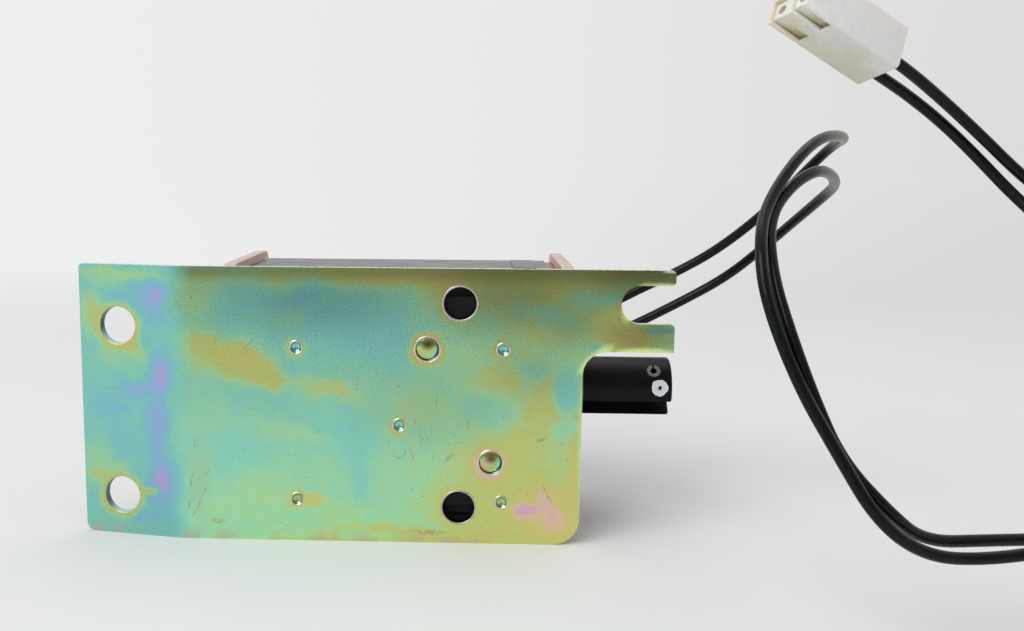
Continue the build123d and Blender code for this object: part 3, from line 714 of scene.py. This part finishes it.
def nylon():
    """White nylon of the plug: milky, with painted shade that makes one side warmer, and faint
    flow lines.
    """
    material, tree, shader, place = start_finish("milky_nylon")
    # Painted shade: warmer and darker toward the shaded side
    across = add(tree, "VectorMath", {0: place, 1: LIT_SIDE_WAY}, operation="DOT_PRODUCT")
    side_shade_and_tone = spread(tree, across.outputs["Value"], 84.0, 92.0)
    side_shade_and_tone = math_of(tree, "ADD", side_shade_and_tone, follow(tree, noise(tree, place, 0.3, 3.0), -0.3, 0.3))
    colour = ramp(tree, side_shade_and_tone, [
        (0.2, plain(222, 216, 199)), (0.5, plain(228, 223, 212)), (0.8, plain(233, 230, 228))])
    flow = noise(tree, place, 1.2, 3.0, 0.6, stretch=(1.0, 0.6, 0.4))
    colour = mix_colours(tree, spread(tree, flow, 0.5, 0.75, 0.0, 0.3), colour,
                         plain(206, 206, 196))
    surface(tree, shader, colour, flow, 0.38, 0.52, 0.00002)
    shader.inputs["Subsurface Weight"].default_value = 0.3
    shader.inputs["Subsurface Scale"].default_value = 0.0015
    return material


def contact_brass():
    """Brass of the contacts, milky where it comes near the mouth of the plug."""
    material, tree, shader, place = start_finish("contact_brass")
    cloud = noise(tree, place, 1.6, 4.0, 0.6)
    colour = ramp(tree, cloud, [(0.3, plain(200, 193, 152)), (0.7, plain(224, 217, 178))])
    along = add(tree, "VectorMath", {0: place, 1: MOUTH_WAY}, operation="DOT_PRODUCT")
    mouth = spread(tree, along.outputs["Value"], -3.2, -0.8, 0.0, 0.9, smooth=True)
    colour = mix_colours(tree, mouth, colour, plain(236, 235, 228))
    shader.inputs["Metallic"].default_value = 0.25
    surface(tree, shader, colour, cloud, 0.35, 0.5, 0.00001)
    return material


def backdrop(tree, way):
    """Colour of the pale background along a direction: painted shade makes it a little darker to
    the right.
    """
    return ramp(tree, spread(tree, apart(tree, way)["X"], -0.4, 0.6), [
        (0.0, (0.86, 0.865, 0.87)), (0.45, (0.815, 0.81, 0.81)),
        (0.9, (0.71, 0.7, 0.695))])


def dress(node_names, material):
    """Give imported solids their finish; their names stand apart by a space."""
    for node_name in node_names.split():
        node = nodes[node_name]
        if not node.material_slots:
            node.data.materials.append(material)
        for place in node.material_slots:
            place.material = material


# Modelling helpers

def use_only(piece):
    """Select one piece alone and make it active."""
    bpy.ops.object.select_all(action="DESELECT")
    piece.select_set(True)
    bpy.context.view_layer.objects.active = piece


def last_made(name):
    """Name and return the piece that an operator has just made, its place put into its mesh."""
    piece = bpy.context.active_object
    piece.name = name
    piece.data.name = name
    use_only(piece)
    bpy.ops.object.transform_apply(location=True, rotation=True, scale=True)
    return piece


def shape(piece, kind, **settings):
    """Add a modifier and apply it."""
    use_only(piece)
    modifier = piece.modifiers.new(kind.title(), kind)
    for name, value in settings.items():
        setattr(modifier, name, value)
    bpy.ops.object.modifier_apply(modifier=modifier.name)


def smooth(piece, degrees=30.0):
    """Shade a piece smooth, but for its sharp edges."""
    use_only(piece)
    bpy.ops.object.shade_smooth_by_angle(angle=math.radians(degrees))


def finish_piece(piece, material, body):
    """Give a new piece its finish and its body."""
    piece.data.materials.clear()
    piece.data.materials.append(material)
    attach(piece, body)


def softened(node_name, name, width, segments=2):
    """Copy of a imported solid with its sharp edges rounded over."""
    piece = bpy.data.objects.new(name, nodes[node_name].data.copy())
    piece.data.name = name
    bpy.context.collection.objects.link(piece)
    use_only(piece)
    bpy.ops.object.mode_set(mode="EDIT")
    bpy.ops.mesh.select_all(action="SELECT")
    bpy.ops.mesh.remove_doubles(threshold=0.000002)
    bpy.ops.mesh.dissolve_limited(angle_limit=math.radians(1.0))
    bpy.ops.object.mode_set(mode="OBJECT")
    shape(piece, "BEVEL", width=width, segments=segments, limit_method="ANGLE",
          angle_limit=math.radians(40.0), use_clamp_overlap=True)
    smooth(piece)
    return piece


# Pieces

def rim_ring(name, x, z, radius, width, lift):
    """Raised rim round a press mark in the plate."""
    middle = (x * MM, PLATE_FRONT_Y * MM, z * MM)
    bpy.ops.mesh.primitive_torus_add(
        location=middle, rotation=(math.radians(90), 0, 0),
        major_radius=radius * MM, minor_radius=width / 2, major_segments=64, minor_segments=12)
    piece = last_made(name)
    bpy.ops.object.mode_set(mode="EDIT")
    bpy.ops.mesh.select_all(action="SELECT")
    bpy.ops.transform.resize(value=(1.0, lift, 1.0), center_override=middle)
    bpy.ops.mesh.bisect(
        plane_co=(0, (PLATE_FRONT_Y + 0.03) * MM, 0), plane_no=(0, 1, 0),
        use_fill=False, clear_outer=True)
    bpy.ops.object.mode_set(mode="OBJECT")
    smooth(piece, 50.0)
    return piece


# Rims round the sight holes: radius in millimetres, height as a share of the width
SIGHT_RIM = 3.08
RIM_LIFT = 0.5

# Steps of a mark from its rim inwards, in millimetres: in, back, then left and up
DENT_STEPS = [
    (0.1, -0.07, 0), (0.12, 0.015, 0), (0.1, 0.09, 0), (0.14, 0.1, 0), (0.22, 0.12, 0),
    (0.24, 0.06, 0), (0.16, 0.03, 0), (0.1, 0.02, 0), (0.06, 0.04, 0),
]
BOSS_STEPS = [
    (0.08, -0.08, 0), (0.1, 0.01, 0), (0.08, 0.17, 0), (0.03, 0.36, 0), (0.2, 0, 0.11),
    (0.03, -0.1, 0), (0.16, -0.07, 0), (0.34, -0.08, 0), (0.46, -0.06, 0), (0.46, -0.03, 0),
    (0.4, -0.01, 0),
]


def pressed_mark(name, x, z, steps, corners):
    """Round mark of the press tool, shaped ring by ring from its rim to its middle."""
    radius = sum(step[0] for step in steps) + 0.05
    bpy.ops.mesh.primitive_circle_add(
        vertices=corners, radius=radius * MM, fill_type="NGON",
        location=(x * MM, (PLATE_FRONT_Y - 0.004) * MM, z * MM),
        rotation=(math.radians(90), 0, 0))
    piece = last_made(name)
    bpy.ops.object.mode_set(mode="EDIT")
    bpy.ops.mesh.select_all(action="SELECT")
    for inwards, back, aside in steps:
        bpy.ops.mesh.inset(thickness=inwards * MM, use_even_offset=False)
        bpy.ops.transform.translate(value=(-aside * MM, back * MM, aside * MM))
    bpy.ops.object.mode_set(mode="OBJECT")
    shape(piece, "SUBSURF", levels=1, render_levels=1)
    smooth(piece, 60.0)
    return piece


# Lamps: name, place and aim in metres, width in metres, power in watts
LAMPS = [
    ("key", (-0.6, -0.75, 0.85), (0.0, 0.0, 0.03), 0.9, 9.0),
    ("top", (0.1, 0.35, 1.0), (0.0, 0.0, 0.02), 0.9, 2.4),
]

# Rounding of the sharp edges, in millimetres
BOARD_EDGE = 0.22
PLUG_EDGE = 0.4


class SOLENOID_OT_camera(bpy.types.Operator):
    """Set the camera where the photograph was taken from."""
    bl_idname = "solenoid.camera"
    bl_label = "Camera"

    def execute(self, context):
        lens = bpy.data.cameras.new("camera")
        lens.sensor_width = 36.0
        lens.sensor_fit = "HORIZONTAL"
        lens.lens = LENS
        lens.shift_x = LENS_SHIFT
        lens.clip_start = 0.005
        camera = bpy.data.objects.new("camera", lens)
        context.scene.collection.objects.link(camera)
        turn = Matrix((CAMERA_RIGHT, CAMERA_UP, -Vector(CAMERA_AHEAD))).transposed().to_4x4()
        camera.matrix_world = Matrix.Translation(CAMERA_PLACE) @ turn
        bpy.context.scene.camera = camera
        return {"FINISHED"}


class SOLENOID_OT_leads(bpy.types.Operator):
    """Run the two leads from the coil to the connector."""
    bl_idname = "solenoid.leads"
    bl_label = "Leads"

    def execute(self, context):
        settings = context.scene.solenoid_leads
        cover = lead_cover(tuple(settings.cover))
        for name, route, length, contact in (
                ("lead_a", LEAD_A, 0.294, "contact_a"), ("lead_b", LEAD_B, 0.277, "contact_b")):
            curve = bpy.data.curves.new(name + "_cable", "CURVE")
            curve.dimensions = "3D"
            curve.resolution_u = 10
            curve.bevel_depth = settings.diameter / 2
            curve.bevel_resolution = 5
            curve.use_fill_caps = True
            line = curve.splines.new("NURBS")
            line.points.add(len(route) - 1)
            for point, (x, y, z) in zip(line.points, route):
                point.co = (x * MM, y * MM, z * MM, 1.0)
            line.order_u = 3
            line.use_endpoint_u = True
            line.use_smooth = True
            cable = bpy.data.objects.new(name + "_cable", curve)
            context.scene.collection.objects.link(cable)
            curve.materials.append(cover)
            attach(cable, "solenoid")
            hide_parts(name)
            _, y, z = route[0]
        return {"FINISHED"}


class SOLENOID_OT_plate(bpy.types.Operator):
    """Plate the mounting plate and finish its press marks."""
    bl_idname = "solenoid.plate"
    bl_label = "Mounting Plate"

    def execute(self, context):
        settings = context.scene.solenoid_plate
        dress("mounting_plate", plating(settings))
        rims = metal("bare_rim", [
            (0.3, tinted(settings.rim_colour, 0.7, 0.7, 0.66)),
            (0.6, settings.rim_colour)], (0.25, 0.4), fine=2.5)
        for number, (x, z) in enumerate(SIGHT_HOLES, 1):
            piece = rim_ring(f"sight_rim_{number}", x, z, SIGHT_RIM, settings.rim_width, RIM_LIFT)
            finish_piece(piece, rims, "solenoid")
        for kind, places, steps, corners, finish in (
                ("dent", DENTS, DENT_STEPS, 40, dent_plating()),
                ("boss", BOSSES, BOSS_STEPS, 64, boss_plating())):
            for number, (x, z) in enumerate(places, 1):
                piece = pressed_mark(f"{kind}_cup_{number}", x, z, steps, corners)
                finish_piece(piece, finish, "solenoid")
        return {"FINISHED"}


class SOLENOID_OT_coil(bpy.types.Operator):
    """Finish the coil: its end boards, tape, winding and former."""
    bl_idname = "solenoid.coil"
    bl_label = "Coil"

    def execute(self, context):
        settings = context.scene.solenoid_coil
        board = fibre_board(tuple(settings.board))
        for node_name, name in (("left_flange", "left_board"), ("right_flange", "right_board")):
            piece = softened(node_name, name, BOARD_EDGE * MM)
            finish_piece(piece, board, "solenoid")
            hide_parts(node_name)
        dress("coil_tape tape_tab", black_tape())
        dress("coil_winding", metal("winding_copper", [
            (0.3, plain(96, 44, 26)), (0.55, plain(150, 78, 46)), (0.75, plain(196, 116, 74))],
            (0.22, 0.36), fine=1.4))
        dress("frame_insulator", moulded("fish_paper", [
            (0.3, (0.004, 0.004, 0.0042)), (0.7, (0.009, 0.009, 0.0094))], (0.7, 0.85)))
        dress("coil_former", moulded("natural_nylon", [
            (0.3, plain(206, 200, 184)), (0.7, plain(226, 222, 208))], (0.4, 0.5), glow=0.15))
        return {"FINISHED"}


class SOLENOID_OT_frame(bpy.types.Operator):
    """Finish the steel frame, the core, the guide tube and their small rings."""
    bl_idname = "solenoid.steel_frame"
    bl_label = "Steel Frame"

    def execute(self, context):
        dress("field_frame", metal("black_frame", [
            (0.3, (0.003, 0.003, 0.0035)), (0.7, (0.008, 0.008, 0.009))],
            (0.42, 0.6), fine=1.0, metallic=0.0, gloss=0.2))
        dress("tube_retainer core_washer spring_pin", metal("spring_steel", [
            (0.3, plain(92, 90, 86)), (0.7, plain(150, 148, 144))], (0.25, 0.4)))
        dress("guide_tube", metal("brass_tube", [
            (0.3, plain(96, 82, 54)), (0.7, plain(140, 122, 82))], (0.3, 0.44),
            spots=plain(58, 50, 38)))
        dress("fixed_core", metal("core_steel", [
            (0.3, plain(104, 102, 98)), (0.7, plain(160, 158, 154))], (0.28, 0.42)))
        dress("shading_ring", metal("ring_copper", [
            (0.3, plain(150, 84, 54)), (0.7, plain(204, 128, 90))], (0.25, 0.35)))
        dress("lead_grommet", moulded("grommet_rubber", [
            (0.3, (0.008, 0.008, 0.008)), (0.7, (0.018, 0.018, 0.018))], (0.5, 0.65)))
        return {"FINISHED"}


class SOLENOID_OT_plunger(bpy.types.Operator):
    """Blacken the plunger and put the paint mark on it."""
    bl_idname = "solenoid.plunger"
    bl_label = "Plunger"

    def execute(self, context):
        dress("plunger", turned_black())
        bpy.ops.mesh.primitive_circle_add(
            vertices=56, radius=PAINT_RADIUS * MM, fill_type="NGON",
            location=[value * MM for value in PAINT_MIDDLE], rotation=(math.radians(90), 0, 0))
        dot = last_made("paint_mark")
        middle = Vector(PAINT_MIDDLE) * MM
        bpy.ops.object.mode_set(mode="EDIT")
        mesh = bmesh.from_edit_mesh(dot.data)
        for point in mesh.verts:
            away = point.co - middle
            angle = math.atan2(away.z, away.x)
            wobble = (1.0 + 0.035 * math.sin(3 * angle + 0.6) + 0.03 * math.sin(5 * angle + 2.0)
                      + 0.02 * math.sin(11 * angle))
            point.co = middle + away * wobble
        bmesh.update_edit_mesh(dot.data)
        bpy.ops.mesh.select_all(action="SELECT")
        for _ in range(6):
            bpy.ops.mesh.inset(thickness=0.2 * MM, use_even_offset=False)
        bpy.ops.object.mode_set(mode="OBJECT")
        for point in dot.data.vertices:
            rise = point.co.z - PLUNGER_Z * MM
            out = math.sqrt((PLUNGER_RADIUS * MM) ** 2 - rise ** 2)
            point.co.y = (PLUNGER_Y - PAINT_LIFT) * MM - out
        shape(dot, "SOLIDIFY", thickness=PAINT_THICKNESS * MM, offset=0.0)
        smooth(dot, 50.0)
        paint = moulded("white_paint", [
            (0.3, plain(222, 228, 246)), (0.6, plain(244, 247, 255))], (0.4, 0.55), fine=3.0)
        finish_piece(dot, paint, "armature")
        return {"FINISHED"}


class SOLENOID_OT_connector(bpy.types.Operator):
    """Finish the connector and its contacts."""
    bl_idname = "solenoid.connector"
    bl_label = "Connector"

    def execute(self, context):
        piece = softened("connector_housing", "plug_housing", PLUG_EDGE * MM, segments=3)
        finish_piece(piece, nylon(), "solenoid")
        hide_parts("connector_housing")
        dress("contact_a contact_b", contact_brass())
        return {"FINISHED"}


class SOLENOID_OT_stage(bpy.types.Operator):
    """Lay the floor, set the world and hang the lamps."""
    bl_idname = "solenoid.stage"
    bl_label = "Studio"

    def execute(self, context):
        settings = context.scene.solenoid_stage
        paper = tuple(settings.paper)
        bpy.ops.mesh.primitive_grid_add(
            x_subdivisions=8, y_subdivisions=8, size=settings.floor_width)
        floor = last_made("floor")
        material, tree, shader, place = start_finish("paper_floor")
        fleck = noise(tree, place, 0.02, 3.0)
        feed(tree, shader, "Base Color", ramp(tree, fleck, [
            (0.3, tinted(paper, 0.985, 0.99, 0.99)), (0.7, tinted(paper, 1.01, 1.01, 1.01))]))
        shader.inputs["Roughness"].default_value = 0.9
        shader.inputs["Specular IOR Level"].default_value = 0.1
        far = add(tree, "VectorMath", {0: place}, operation="LENGTH").outputs["Value"]
        way = add(tree, "VectorMath", {0: place}, operation="NORMALIZE").outputs[0]
        glow = add(tree, "Emission", {"Color": backdrop(tree, way), "Strength": 1.0})
        path = add(tree, "LightPath")
        share = times(tree, path.outputs["Is Camera Ray"],
                      spread(tree, far, 180.0, 600.0, smooth=True))
        blend = add(tree, "MixShader", {
            0: share, 1: shader.outputs[0], 2: glow.outputs[0]})
        output = [n for n in tree.nodes if n.type == "OUTPUT_MATERIAL"][0]
        tree.links.new(blend.outputs[0], output.inputs["Surface"])
        floor.data.materials.append(material)

        world = bpy.data.worlds.new("studio")
        context.scene.world = world
        world.use_nodes = True
        tree = world.node_tree
        tree.nodes.clear()
        way = add(tree, "TexCoord").outputs["Generated"]
        light = add(tree, "Background", {"Color": (1.0, 1.0, 1.0, 1.0), "Strength": 0.5})
        seen = add(tree, "Background", {"Color": backdrop(tree, way), "Strength": 1.0})
        front = spread(tree, apart(tree, way)["Y"], -0.9, 0.3, settings.front, 0.8, smooth=True)
        tones = add(tree, "CombineXYZ", {0: front, 1: front, 2: front}).outputs[0]
        mirrored = add(tree, "Background", {"Color": tones, "Strength": 1.0})
        path = add(tree, "LightPath")
        shown = math_of(tree, "MAXIMUM", path.outputs["Is Camera Ray"],
                        path.outputs["Is Transmission Ray"])
        blend = add(tree, "MixShader", {
            0: path.outputs["Is Glossy Ray"], 1: light.outputs[0], 2: mirrored.outputs[0]})
        blend = add(tree, "MixShader", {0: shown, 1: blend.outputs[0], 2: seen.outputs[0]})
        output = tree.nodes.new("ShaderNodeOutputWorld")
        tree.links.new(blend.outputs[0], output.inputs["Surface"])

        for name, place, aim, size, power in LAMPS:
            lamp_data = bpy.data.lights.new(name, "AREA")
            lamp_data.shape = "SQUARE"
            lamp_data.size = size
            lamp_data.energy = power
            lamp = bpy.data.objects.new(name, lamp_data)
            context.scene.collection.objects.link(lamp)
            lamp.location = place
            lamp.rotation_euler = (Vector(aim) - Vector(place)).to_track_quat("-Z", "Y").to_euler()
        context.scene.view_settings.view_transform = "Standard"
        return {"FINISHED"}


OPERATORS = (
    SOLENOID_OT_camera, SOLENOID_OT_connector, SOLENOID_OT_leads, SOLENOID_OT_plate,
    SOLENOID_OT_coil, SOLENOID_OT_frame, SOLENOID_OT_plunger, SOLENOID_OT_stage,
)


class SOLENOID_PT_panel(bpy.types.Panel):
    """Panel that lists the steps of the solenoid."""
    bl_label = "Pull Solenoid"
    bl_space_type = "VIEW_3D"
    bl_region_type = "UI"
    bl_category = "Solenoid"

    def draw(self, context):
        for operator in OPERATORS:
            self.layout.operator(operator.bl_idname)
        for group in GROUPS:
            settings = getattr(context.scene, group)
            for name in settings.bl_rna.properties.keys():
                if name not in ("rna_type", "name"):
                    self.layout.prop(settings, name)


GROUPS = {
    "solenoid_leads": LeadSettings,
    "solenoid_plate": PlateSettings,
    "solenoid_coil": CoilSettings,
    "solenoid_stage": StageSettings,
}


def register():
    for name, group in GROUPS.items():
        bpy.utils.register_class(group)
        setattr(bpy.types.Scene, name, PointerProperty(type=group))
    for operator in OPERATORS:
        bpy.utils.register_class(operator)
    bpy.utils.register_class(SOLENOID_PT_panel)


def unregister():
    bpy.utils.unregister_class(SOLENOID_PT_panel)
    for operator in reversed(OPERATORS):
        bpy.utils.unregister_class(operator)
    for name, group in reversed(GROUPS.items()):
        delattr(bpy.types.Scene, name)
        bpy.utils.unregister_class(group)


def main():
    register()
    for operator in OPERATORS:
        kind, name = operator.bl_idname.split(".")
        getattr(getattr(bpy.ops, kind), name)()
    bpy.context.view_layer.update()


if __name__ == "__main__":
    main()
